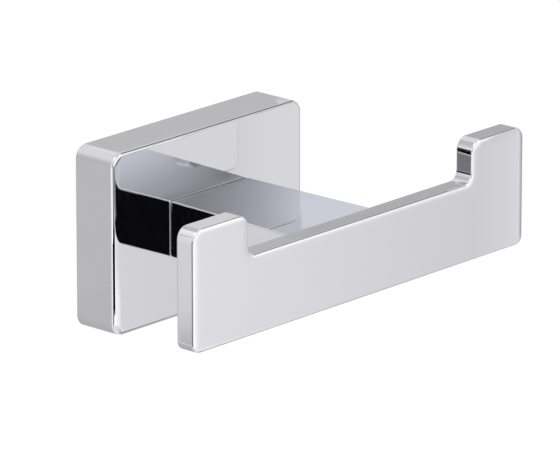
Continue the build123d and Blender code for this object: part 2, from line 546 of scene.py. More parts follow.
@dataclass(frozen=True)
class ScrewThread:
    """Coarse metric thread."""

    radius: float = 2.0
    pitch: float = 0.7
    depth: float = 0.43
    run_out: float = 0.7
    flank: float = 1.5  # steepness of the flanks, over 1 for flat crests and roots
    rings_per_turn: int = 10

    def radius_at(self, turn: float, height: float, bottom: float, top: float) -> float:
        """Radius of the thread's surface.

        Args:
            turn: angle round the axis.
            height: height along the axis.
            bottom: where the thread starts.
            top: where it ends.

        Returns:
            Radius between the core's and the crest's.
        """
        phase = (height / self.pitch - turn / (2 * math.pi)) % 1.0
        ridge = min(1.0, max(0.0, 0.5 + self.flank * (0.5 - abs(2 * phase - 1))))
        fade = min(1.0, (height - bottom) / self.run_out, (top - height) / self.run_out)
        return self.radius - self.depth * (1 - ridge) * max(0.0, fade)

    def heights(self, bottom: float, top: float) -> list[float]:
        """Heights at which the thread is cut into rings."""
        steps = math.ceil((top - bottom) / self.pitch * self.rings_per_turn)
        return [bottom + (top - bottom) * step / steps for step in range(steps + 1)]


@dataclass(frozen=True)
class HexagonSocket:
    """Six-sided socket with a chamfered mouth and a drilled floor."""

    across_flats: float
    depth: float
    chamfer_depth: float
    chamfer_width: float  # how much wider across flats the mouth is


class TurnedSolid(SolidMesh):
    """Closed mesh turned about its own Z axis, with room for a thread and a hexagon socket."""

    steps = 48

    def turn(self, height: float, radius: Callable[[float], float]) -> Ring:
        """Adds one ring.

        Args:
            height: height along the axis.
            radius: radius for each angle.

        Returns:
            The ring.
        """
        angles = [2 * math.pi * step / self.steps for step in range(self.steps)]
        return self.ring(Vector((radius(a) * math.cos(a), radius(a) * math.sin(a), height)) for a in angles)

    def plain(self, height: float, radius: float) -> Ring:
        """Adds one round ring."""
        return self.turn(height, lambda _: radius)

    def hexagon(self, height: float, across_flats: float) -> Ring:
        """Adds one six-sided ring."""
        sixth = math.pi / 3
        return self.turn(height, lambda a: across_flats / 2 / math.cos(a % sixth - sixth / 2))

    def socket(self, shape: HexagonSocket, mouth: float, inward: int) -> list[Ring]:
        """Adds a socket with its floor closed.

        Args:
            shape: the socket's sizes.
            mouth: height of its mouth.
            inward: 1 for a socket that goes up from its mouth, and -1 for one that goes down.

        Returns:
            Its rings, from the floor to the mouth.
        """
        floor = self.hexagon(mouth + inward * shape.depth, shape.across_flats)
        drilled = shape.depth + shape.across_flats / 4
        self.point(floor, Vector((0, 0, mouth + inward * drilled)))
        return [
            floor,
            self.hexagon(mouth + inward * shape.chamfer_depth, shape.across_flats),
            self.hexagon(mouth, shape.across_flats + shape.chamfer_width),
        ]

    def threaded(self, thread: ScrewThread, start: float, stop: float) -> list[Ring]:
        """Adds a threaded length.

        Args:
            thread: the thread's sizes.
            start: height of the first ring.
            stop: height of the last ring, above or below the first.

        Returns:
            Its rings, from start to stop.
        """
        low, high = min(start, stop), max(start, stop)
        rings = []
        for height in thread.heights(low, high):
            rings.append(self.turn(height, lambda a, h=height: thread.radius_at(a, h, low, high)))
        return rings if start < stop else rings[::-1]


@dataclass(frozen=True)
class BuffedEdge:
    """Rounded front edge that buffing has drawn out over the face."""

    radius: float
    roll: float  # how far it is drawn out
    lean: float  # degrees that the face has turned by where the round starts
    steps: int = 8

    def rings(
        self, solid: SolidMesh, outline: Outline, depth: float, reached: Callable[[Vector], float]
    ) -> list[Ring]:
        """Adds the rings over the edge.

        Args:
            solid: mesh that gets the rings.
            outline: outline of the front.
            depth: distance of the front from the wall.
            reached: share of the drawing out, for a direction out of the outline.

        Returns:
            The rings, from the side to the flat face.
        """
        shares = [reached(way) for way in outline.outward()]
        rings = []
        for inset, drop in reversed(edge_profile(self.radius, self.steps, self.roll, self.lean)):
            plain = self.radius - math.sqrt(self.radius**2 - max(0.0, self.radius - inset) ** 2)
            points = outline.at(depth, inset)
            for point, share in zip(points, shares):
                point.y += share * drop + (1 - share) * plain
            rings.append(solid.ring(points))
        return rings


def carve(base: bpy.types.Object, others: Sequence[tuple[Carving, bpy.types.Object]]) -> None:
    """Works other solids into one, and removes them.

    Args:
        base: solid that is kept.
        others: how each other solid is worked in, and that solid.
    """
    for how, other in others:
        modifier = base.modifiers.new(other.name, "BOOLEAN")
        modifier.operation = how.value
        modifier.solver = "EXACT"
        modifier.object = other
    graph = bpy.context.evaluated_depsgraph_get()
    mesh = bpy.data.meshes.new_from_object(base.evaluated_get(graph))
    base.modifiers.clear()
    base.data = mesh
    for _, other in others:
        bpy.data.objects.remove(other)


def box_mm(node: Node) -> tuple[Vector, Vector]:
    """Lowest and highest corner of a node, in millimetres."""
    low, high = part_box(node.value)
    return low / MM, high / MM


def even_shading(piece: bpy.types.Object) -> None:
    """Shades a piece smooth up to its creases, with flat faces kept flat.

    Args:
        piece: the dressed piece.
    """
    piece.data.shade_smooth()
    piece.data.set_sharp_from_angle(angle=CREASE_ANGLE)
    modifier = piece.modifiers.new("flat_faces_stay_flat", "WEIGHTED_NORMAL")
    modifier.keep_sharp = True


def stand_in(piece: bpy.types.Object, node: Node) -> bpy.types.Object:
    """Shades a piece, lets it take the place of a node, and reports it.

    Args:
        piece: the dressed piece.
        node: node that it replaces.

    Returns:
        The finished piece.
    """
    even_shading(piece)
    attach(piece, BODY)
    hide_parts(node.value)
    LOG.info("%s: %d faces in place of %s", piece.name, len(piece.data.polygons), node.value)
    return piece


@dataclass
class HookCasting:
    """Arm and U-shaped bar, cast as one piece and buffed all over."""

    half_length: float
    front: float
    root: float
    bar_bottom: float
    tab_top: float
    bar_thickness: float = 4.4
    tab_width: float = 15.3
    tab_radius: float = 2.5
    notch_radius: float = 2.0
    foot_radius: float = 1.9
    front_edge: BuffedEdge = BuffedEdge(0.4, roll=2.2, lean=7.0)
    back_edge: float = 0.4
    root_width: float = 21.8
    tip_width: float = 24.3
    arm_height: float = 11.4
    arm_edge: float = 0.25
    root_edge: float = 0.25
    root_stretch: float = 2.0
    seam_fillet: float = 0.6
    arm_steps: int = 7
    fillet_steps: int = 7
    screw_x: float = 7.1
    tapped_radius: float = 2.05
    tapped_depth: float = 8.5

    @classmethod
    def from_frame(cls) -> "HookCasting":
        """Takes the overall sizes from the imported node."""
        low, high = box_mm(Node.HOOK)
        return cls(half_length=high.x, front=-low.y, root=-high.y, bar_bottom=low.z, tab_top=high.z)

    def bar_outline(self) -> Outline:
        """Draws the bar's outline.

        Returns:
            A wide U with its middle as high above the arm as below it.
        """
        end = self.half_length
        inner = end - self.tab_width
        notch = -self.bar_bottom
        corners = (
            Corner(-end, self.bar_bottom, self.foot_radius),
            Corner(end, self.bar_bottom, self.foot_radius),
            Corner(end, self.tab_top, self.tab_radius),
            Corner(inner, self.tab_top, self.tab_radius),
            Corner(inner, notch, self.notch_radius),
            Corner(-inner, notch, self.notch_radius),
            Corner(-inner, self.tab_top, self.tab_radius),
            Corner(-end, self.tab_top, self.tab_radius),
        )
        return Outline(corners, arc_steps=12)

    def arm_ring(self, depth: float, inset: float = 0.0) -> list[Vector]:
        """Section of the arm at a distance out from the wall.

        Args:
            depth: distance out from the wall.
            inset: how far the section is drawn in.

        Returns:
            Points of the section.
        """
        share = (depth - self.root) / (self.front - self.bar_thickness - self.root)
        width = self.root_width + (self.tip_width - self.root_width) * share
        # One step along each side, so that every section has as many points
        steps = {"arc_steps": 8, "run_step": self.tip_width}
        return Outline.rectangle(width / 2, self.arm_height / 2, self.arm_edge, **steps).at(depth, inset)

    def arm_rings(self, solid: SolidMesh, bar_back: float) -> list[Ring]:
        """Rings of the arm from its root to the flare on the bar's back.

        Args:
            solid: mesh that gets the rings.
            bar_back: depth of the bar's back.

        Returns:
            The rings in order.
        """
        root_round = edge_profile(self.root_edge, stretch=self.root_stretch)
        sections = [(self.root + drop, inset) for inset, drop in root_round]
        start = self.root + self.root_edge * self.root_stretch
        stop = bar_back - self.seam_fillet
        for step in range(1, self.arm_steps):
            sections.append((start + (stop - start) * step / self.arm_steps, 0.0))
        for step in range(self.fillet_steps + 1):
            turn = math.pi / 2 * step / self.fillet_steps
            let_out = self.seam_fillet * (1 - math.cos(turn))
            sections.append((bar_back - self.seam_fillet * (1 - math.sin(turn)), -let_out))
        return [solid.ring(self.arm_ring(depth, inset)) for depth, inset in sections]

    def build(self, finish: BrightChrome) -> bpy.types.Object:
        """Builds and dresses the casting.

        Args:
            finish: plating of the whole casting.

        Returns:
            The finished piece.
        """
        solid = SolidMesh()
        outline = self.bar_outline()
        bar_back = self.front - self.bar_thickness
        back_round = edge_profile(self.back_edge)
        bar = [solid.ring(outline.at(bar_back + drop, inset)) for inset, drop in back_round]
        # The wheel goes over the top and the ends, and not along the bottom
        bar += self.front_edge.rings(solid, outline, self.front, lambda way: 1 + min(0.0, way.z))
        solid.bridge(bar)
        solid.sheet(bar[-1])
        arm = self.arm_rings(solid, bar_back)
        solid.bridge(arm)
        solid.sheet(bar[0], arm[-1])
        floor_depth = self.root + self.tapped_depth
        stations = ((self.root, self.tapped_radius), (floor_depth, self.tapped_radius))
        mouths, floors = solid.bores(self.screw_x, stations)
        for x, floor in zip((-self.screw_x, self.screw_x), floors):
            solid.point(floor, Vector((x, -floor_depth - self.tapped_radius / 2, 0)))
        solid.sheet(arm[0], *mouths)
        return stand_in(solid.to_object("hook_casting", finish.material()), Node.HOOK)


@dataclass
class RosetteShell:
    """Hollow wall plate with a lip inside its top wall and a screw boss on its lower wall.

    The sections of the lip and the boss are (depth, height) points, seen from the side.
    """

    half_width: float
    half_height: float
    depth: float
    corner_radius: float = 2.6
    front_edge: BuffedEdge = BuffedEdge(0.6, roll=1.6, lean=8.0)
    rim_edge: float = 0.15
    rim_steps: int = 4
    side_wall: float = 2.5
    front_wall: float = 3.0
    cavity_radius: float = 1.5
    screw_x: float = 7.1
    hole_radius: float = 2.25
    sink_radius: float = 3.85
    sink_rim: float = 0.25
    lip_half_width: float = 12.0
    lip_section: tuple[Point, ...] = ((0.8, 17.15), (0.8, 9.7), (3.06, 9.7), (5.4, 12.04), (5.4, 17.15))
    boss_half_width: float = 4.5
    boss_section: tuple[Point, ...] = ((1.0, -17.15), (8.5, -17.15), (8.5, -12.6), (1.0, -12.6))
    lug_edge: float = 0.3
    set_screw_depth: float = 4.4
    set_screw_hole: float = 2.05
    bore_margin: float = 1.0  # how far the plug for that hole stands out at both ends
    front_margin: float = 0.1  # what lies this close behind the front is plated as the front is
    back_margin: float = 0.01  # what lies this close to the wall is plated as the rim is

    @classmethod
    def from_frame(cls) -> "RosetteShell":
        """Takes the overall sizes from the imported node."""
        low, high = box_mm(Node.ROSETTE)
        return cls(half_width=high.x, half_height=high.z, depth=-low.y)

    def shell(self) -> SolidMesh:
        """Builds the hollow plate without its lip and boss.

        Returns:
            The mesh of the plate, with its two sunk screw holes.
        """
        solid = SolidMesh()
        outer = Outline.rectangle(self.half_width, self.half_height, self.corner_radius, arc_steps=12)
        cavity = (self.half_width - self.side_wall, self.half_height - self.side_wall)
        inner = Outline.rectangle(*cavity, self.cavity_radius, arc_steps=12)
        inner.run_steps = outer.run_steps
        floor_depth = self.depth - self.front_wall
        rim = edge_profile(self.rim_edge, self.rim_steps)
        skin = [solid.ring(outer.at(drop, inset)) for inset, drop in rim]
        # The wheel goes over the left end only
        skin += self.front_edge.rings(solid, outer, self.depth, lambda way: max(0.0, -way.x))
        solid.bridge(skin)
        hollow = [solid.ring(inner.at(drop, -inset)) for inset, drop in rim]
        hollow += [solid.ring(inner.at(floor_depth - drop, inset)) for inset, drop in reversed(rim)]
        solid.bridge(hollow)
        solid.bridge([skin[0], hollow[0]])
        stations = (
            (self.depth, self.hole_radius),
            (floor_depth + self.sink_rim + self.sink_radius - self.hole_radius, self.hole_radius),
            (floor_depth + self.sink_rim, self.sink_radius),
            (floor_depth, self.sink_radius),
        )
        front_mouths, floor_mouths = solid.bores(self.screw_x, stations)
        solid.sheet(skin[-1], *front_mouths)
        solid.sheet(hollow[-1], *floor_mouths)
        return solid

    def lug(self, name: str, section: Sequence[Point], half_width: float) -> bpy.types.Object:
        """Builds a lip or boss from its section, seen from the side.

        Args:
            name: the object's name.
            section: (depth, height) points.
            half_width: half its width along X.

        Returns:
            The lug as an object of its own.
        """
        solid = SolidMesh()
        solid.prism([solid.ring(Vector((x, -d, z)) for d, z in section) for x in (-half_width, half_width)])
        solid.bevel(self.lug_edge)
        return solid.to_object(name)

    def set_screw_cutter(self) -> bpy.types.Object:
        """Builds the plug that bores the set screw's hole.

        Returns:
            The plug as an object of its own, which goes up through the lower wall and the boss.
        """
        solid = TurnedSolid(Matrix.Translation((0, -self.set_screw_depth, 0)))
        bottom = -self.half_height - self.bore_margin
        top = max(z for _, z in self.boss_section) + self.bore_margin
        solid.prism([solid.plain(height, self.set_screw_hole) for height in (bottom, top)])
        return solid.to_object("set_screw_bore")

    def dress(self, piece: bpy.types.Object, outside: BrightChrome, inside: GrainyMetal) -> None:
        """Gives the outside its plating and the hollow its dull skin.

        Args:
            piece: the rosette.
            outside: finish of what shows.
            inside: finish of the hollow.
        """
        piece.data.materials.clear()
        piece.data.materials.append(outside.material())
        piece.data.materials.append(inside.material())
        # The plating ends where the rim turns into the hollow
        reach_x = (self.half_width - self.side_wall + self.rim_edge) * MM
        reach_z = (self.half_height - self.side_wall + self.rim_edge) * MM
        front = -(self.depth - self.front_margin) * MM
        back = -self.back_margin * MM
        for face in piece.data.polygons:
            spot = face.center
            within = abs(spot.x) < reach_x and abs(spot.z) < reach_z and front < spot.y < back
            face.material_index = 1 if within else 0

    def build(self, outside: BrightChrome, inside: GrainyMetal) -> bpy.types.Object:
        """Builds and dresses the rosette.

        Args:
            outside: finish of what shows.
            inside: finish of the hollow.

        Returns:
            The finished piece.
        """
        piece = self.shell().to_object("rosette_shell")
        carvings = (
            (Carving.ADD, self.lug("hook_lip", self.lip_section, self.lip_half_width)),
            (Carving.ADD, self.lug("screw_boss", self.boss_section, self.boss_half_width)),
            (Carving.CUT, self.set_screw_cutter()),
        )
        carve(piece, carvings)
        self.dress(piece, outside, inside)
        return stand_in(piece, Node.ROSETTE)


@dataclass
class DovetailBracket:
    """Plate that is screwed to the wall, with upper and lower edges undercut for the rosette to grip."""

    half_width: float
    half_height: float
    thickness: float
    land: float = 1.0
    bevel: float = 3.2
    corner_radius: float = 2.0
    heel_radius: float = 0.5
    edge: float = 0.25
    edge_steps: int = 4
    hole_x: float = 13.5
    hole_radius: float = 2.5
    sink_radius: float = 4.5

    @classmethod
    def from_frame(cls) -> "DovetailBracket":
        """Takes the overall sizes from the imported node."""
        low, high = box_mm(Node.BRACKET)
        return cls(half_width=high.x, half_height=high.z, thickness=-low.y)

    def build(self, finish: GrainyMetal) -> bpy.types.Object:
        """Builds and dresses the bracket.

        Args:
            finish: finish of the whole plate.

        Returns:
            The finished piece.
        """
        solid = SolidMesh()
        heel = Outline.rectangle(self.half_width, self.half_height - self.bevel, self.heel_radius)
        head = Outline.rectangle(self.half_width, self.half_height, self.corner_radius)
        heel.run_steps = head.run_steps
        bevel_front = self.thickness - self.land
        corner = edge_profile(self.edge, self.edge_steps)
        rings = [solid.ring(heel.at(drop, inset)) for inset, drop in corner]
        rings.append(solid.ring(heel.at(bevel_front - self.bevel)))
        rings.append(solid.ring(head.at(bevel_front)))
        rings += [solid.ring(head.at(self.thickness - drop, inset)) for inset, drop in reversed(corner)]
        solid.bridge(rings)
        throat = self.thickness - (self.sink_radius - self.hole_radius)
        stations = ((0.0, self.hole_radius), (throat, self.hole_radius), (self.thickness, self.sink_radius))
        back_mouths, front_mouths = solid.bores(self.hole_x, stations)
        solid.sheet(rings[0], *back_mouths)
        solid.sheet(rings[-1], *front_mouths)
        return stand_in(solid.to_object("dovetail_bracket", finish.material()), Node.BRACKET)


@dataclass
class ArmScrews:
    """Two countersunk socket screws that pull the arm against the rosette from inside."""

    head_depth: float
    screw_x: float = 7.1
    head_radius: float = 3.75
    head_rim: float = 0.25
    head_break: Point = (0.12, 0.08)  # how far the head's upper edge is broken, inwards and down
    length: float = 10.0
    chamfer: float = 0.4
    socket: HexagonSocket = HexagonSocket(2.5, depth=1.5, chamfer_depth=0.12, chamfer_width=0.25)
    thread: ScrewThread = ScrewThread()

    @classmethod
    def from_frame(cls) -> "ArmScrews":
        """Takes the heads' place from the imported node."""
        _, high = box_mm(Node.ARM_SCREWS)
        return cls(head_depth=-high.y)

    def add_screw(self, solid: TurnedSolid) -> None:
        """Adds one screw to a mesh, with its head's face at height 0 and its shank going down.

        Args:
            solid: mesh that gets the screw, with its own frame set to the screw's.
        """
        inwards, down = self.head_break
        neck = self.thread.radius - self.head_radius - self.head_rim
        rings = solid.socket(self.socket, 0.0, -1)
        rings.append(solid.plain(0.0, self.head_radius - inwards))
        rings.append(solid.plain(-down, self.head_radius))
        rings.append(solid.plain(-self.head_rim, self.head_radius))
        rings += solid.threaded(self.thread, neck, self.chamfer - self.length)
        rings.append(solid.plain(-self.length, self.thread.radius - self.chamfer))
        solid.bridge(rings)
        solid.point(rings[-1], Vector((0, 0, -self.length)))

    def build(self, finish: GrainyMetal) -> bpy.types.Object:
        """Builds and dresses both screws.

        Args:
            finish: finish of the screws.

        Returns:
            The finished piece.
        """
        solid = TurnedSolid()
        facing_wall = Matrix.Rotation(-math.pi / 2, 4, "X")
        for x in (-self.screw_x, self.screw_x):
            solid.place = Matrix.Translation((x, -self.head_depth, 0)) @ facing_wall
            self.add_screw(solid)
        piece = solid.to_object("countersunk_arm_screws", finish.material())
        return stand_in(piece, Node.ARM_SCREWS)


@dataclass
class SetScrew:
    """Cone-point grub screw in the rosette's underside, turned up against the bracket's lower bevel."""

    depth: float
    top: float
    bottom: float
    point_radius: float = 0.4
    chamfer: float = 0.4
    socket: HexagonSocket = HexagonSocket(2.0, depth=2.5, chamfer_depth=0.1, chamfer_width=0.2)
    thread: ScrewThread = ScrewThread()

    @classmethod
    def from_frame(cls) -> "SetScrew":
        """Takes the screw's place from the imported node."""
        low, high = box_mm(Node.SET_SCREW)
        return cls(depth=-(low.y + high.y) / 2, top=high.z, bottom=low.z)

    def build(self, finish: GrainyMetal) -> bpy.types.Object:
        """Builds and dresses the screw.

        Args:
            finish: finish of the screw.

        Returns:
            The finished piece.
        """
        solid = TurnedSolid(Matrix.Translation((0, -self.depth, 0)))
        radius = self.thread.radius
        shoulder = self.top - (radius - self.point_radius)
        rings = solid.socket(self.socket, self.bottom, 1)
        rings.append(solid.plain(self.bottom, radius - self.chamfer))
        rings += solid.threaded(self.thread, self.bottom + self.chamfer, shoulder)
        rings.append(solid.plain(self.top, self.point_radius))
        solid.bridge(rings)
        solid.point(rings[-1], Vector((0, 0, self.top)))
        piece = solid.to_object("cone_point_set_screw", finish.material())
        return stand_in(piece, Node.SET_SCREW)


def direction(azimuth: float, elevation: float) -> Vector:
    """Unit vector towards a place round the object.

    Args:
        azimuth: degrees from straight in front of the wall, positive to the right.
        elevation: degrees above the horizon.

    Returns:
        The direction, out from the object.
    """
    a = math.radians(azimuth)
    e = math.radians(elevation)
    return Vector((math.sin(a) * math.cos(e), -math.cos(a) * math.cos(e), math.sin(e)))


def face_inwards(
    obj: bpy.types.Object, out: Vector, distance: float, target: Sequence[float] = (0, 0, 0)
) -> None:
    """Stands a lamp or camera away from a target and turns it to face that target.

    Args:
        obj: the lamp or camera.
        out: direction from the target to it.
        distance: distance between them.
        target: place that it faces.
    """
    obj.location = (Vector(target) + out * distance) * MM
    obj.rotation_mode = "QUATERNION"
    obj.rotation_quaternion = (-out).to_track_quat("-Z", "Y")


def stage_sheet(
    name: str, corners: Sequence[Point], level: float, material: bpy.types.Material
) -> bpy.types.Object:
    """Builds a flat four-cornered sheet of the studio.

    Args:
        name: the sheet's name.
        corners: its corners in anticlockwise order, as seen from above.
        level: height of the sheet.
        material: its material.

    Returns:
        The sheet.
    """
    mesh = bpy.data.meshes.new(name)
    mesh.from_pydata([(x * MM, y * MM, level * MM) for x, y in corners], [], [(0, 1, 2, 3)])
    mesh.materials.append(material)
    sheet = add_object(name, mesh)
    return sheet


def even(level: float) -> tuple[Point, ...]:
    """Grading of a card that is as bright all over."""
    return ((0.0, level),)


@dataclass(frozen=True)
class ReflectionCard:
    """One-sided card of the photo studio that only reflections see, graded across and upwards."""

    name: str
    aim: Point  # azimuth and elevation of the card's origin
    distance: float
    sides: Point  # left and right edge
    ends: Point  # lower and upper edge
    across: tuple[Point, ...] = even(1.0)
    upwards: tuple[Point, ...] = even(1.0)
    roll: float = 0.0
    tint: str = WHITE

    def place(self) -> Matrix:
        """Works out where the card stands.

        Returns:
            The card's frame: X to its right as seen from beyond it, Y up and Z away from the object.
        """
        out = direction(*self.aim)
        azimuth = math.radians(self.aim[0])
        right = Vector((math.cos(azimuth), math.sin(azimuth), 0))
        up = -right.cross(out)
        facing = Matrix((right, up, right.cross(up))).transposed().to_4x4()
        turned = facing @ Matrix.Rotation(math.radians(self.roll), 4, "Z")
        return Matrix.Translation(out * self.distance * MM) @ turned

    def grade(
        self, tree: bpy.types.NodeTree, along: bpy.types.NodeSocket, span: Point, levels: Sequence[Point]
    ) -> bpy.types.NodeSocket:
        """Adds a ramp of brightness along one side of the card.

        Args:
            tree: node tree of the card's material.
            along: place along that side, from 0 to 1.
            span: millimetres at 0 and at 1.
            levels: pairs of millimetres and brightness.

        Returns:
            Socket with the brightness as a share of the brightest level.
        """
        low, high = span
        peak = max(level for _, level in levels)
        stops = []
        for spot, level in levels:
            share = level / peak
            stops.append(((spot - low) / (high - low), (share, share, share, 1.0)))
        return add_node(tree, "ShaderNodeValToRGB", {"Fac": along}, stops=stops).outputs["Color"]

    def material(self) -> bpy.types.Material:
        """Builds the card's light.

        Returns:
            An emission that follows both gradings on the side towards the object, and is clear from beyond.
        """
        material, tree = new_material(self.name)
        place = add_node(tree, "ShaderNodeTexCoord").outputs["Generated"]
        split = add_node(tree, "ShaderNodeSeparateXYZ", {"Vector": place})
        shade = self.grade(tree, split.outputs["X"], self.sides, self.across)
        upwards = self.grade(tree, split.outputs["Y"], self.ends, self.upwards)
        multiply = {"data_type": "RGBA", "blend_type": "MULTIPLY"}
        for factor in (upwards, linear(self.tint)):
            shade = add_node(tree, "ShaderNodeMix", {0: 1.0, 6: shade, 7: factor}, **multiply).outputs[2]
        peak = max(level for _, level in self.across) * max(level for _, level in self.upwards)
        shader = add_node(tree, "ShaderNodeEmission", {"Color": shade, "Strength": peak})
        clear = add_node(tree, "ShaderNodeBsdfTransparent")
        towards_object = add_node(tree, "ShaderNodeNewGeometry").outputs["Backfacing"]
        layers = {0: towards_object, 1: clear.outputs["BSDF"], 2: shader.outputs["Emission"]}
        sheet = add_node(tree, "ShaderNodeMixShader", layers)
        add_node(tree, "ShaderNodeOutputMaterial", {"Surface": sheet.outputs["Shader"]})
        return material

    def build(self) -> bpy.types.Object:
        """Builds the card.

        Returns:
            The card.
        """
        (left, right), (bottom, top) = self.sides, self.ends
        corners = ((left, bottom), (right, bottom), (right, top), (left, top))
        card = stage_sheet(self.name, corners, 0.0, self.material())
        card.matrix_world = self.place()
        card.visible_camera = False
        card.visible_diffuse = False
        card.visible_shadow = False
        return card


# Where the camera looks by way of the object's faces, as azimuth and elevation
VIEW_AZIMUTH = 47.74
VIEW_ELEVATION = 17.25
OFF_FRONTS = (VIEW_AZIMUTH, -VIEW_ELEVATION)
OFF_LEFT_SIDES = (VIEW_AZIMUTH - 180, -VIEW_ELEVATION)
OFF_TOPS = (180 - VIEW_AZIMUTH, VIEW_ELEVATION)
OFF_TOPS_AND_FRONTS = (VIEW_AZIMUTH, VIEW_ELEVATION)
OFF_TWO_FRONTS = (180 - VIEW_AZIMUTH, -VIEW_ELEVATION)

# How the bar and the tabs' corners slant in the picture, and how far off the cards stand
BAR_SLANT = 18.0
CORNER_SLANT = 57.0
NEAR = 300.0
FAR = 750.0

# Black flag cloth, and the faint tints of the sheets
BLACK = even(0.008)
BLACK_TINT = "#D0D8FF"
TOP_TINT = "#F6F8FF"
BAND_TINT = "#F8FBFF"
PANEL_TINT = "#FEFFF9"

# Brightness along the sweep, from its left end
SWEEP = (
    (-160, 1.42), (-135, 1.36), (-119, 1.27), (-105, 1.2),
    (-95, 1.15), (-80, 1.09), (-50, 1.02), (-14, 0.915),
)

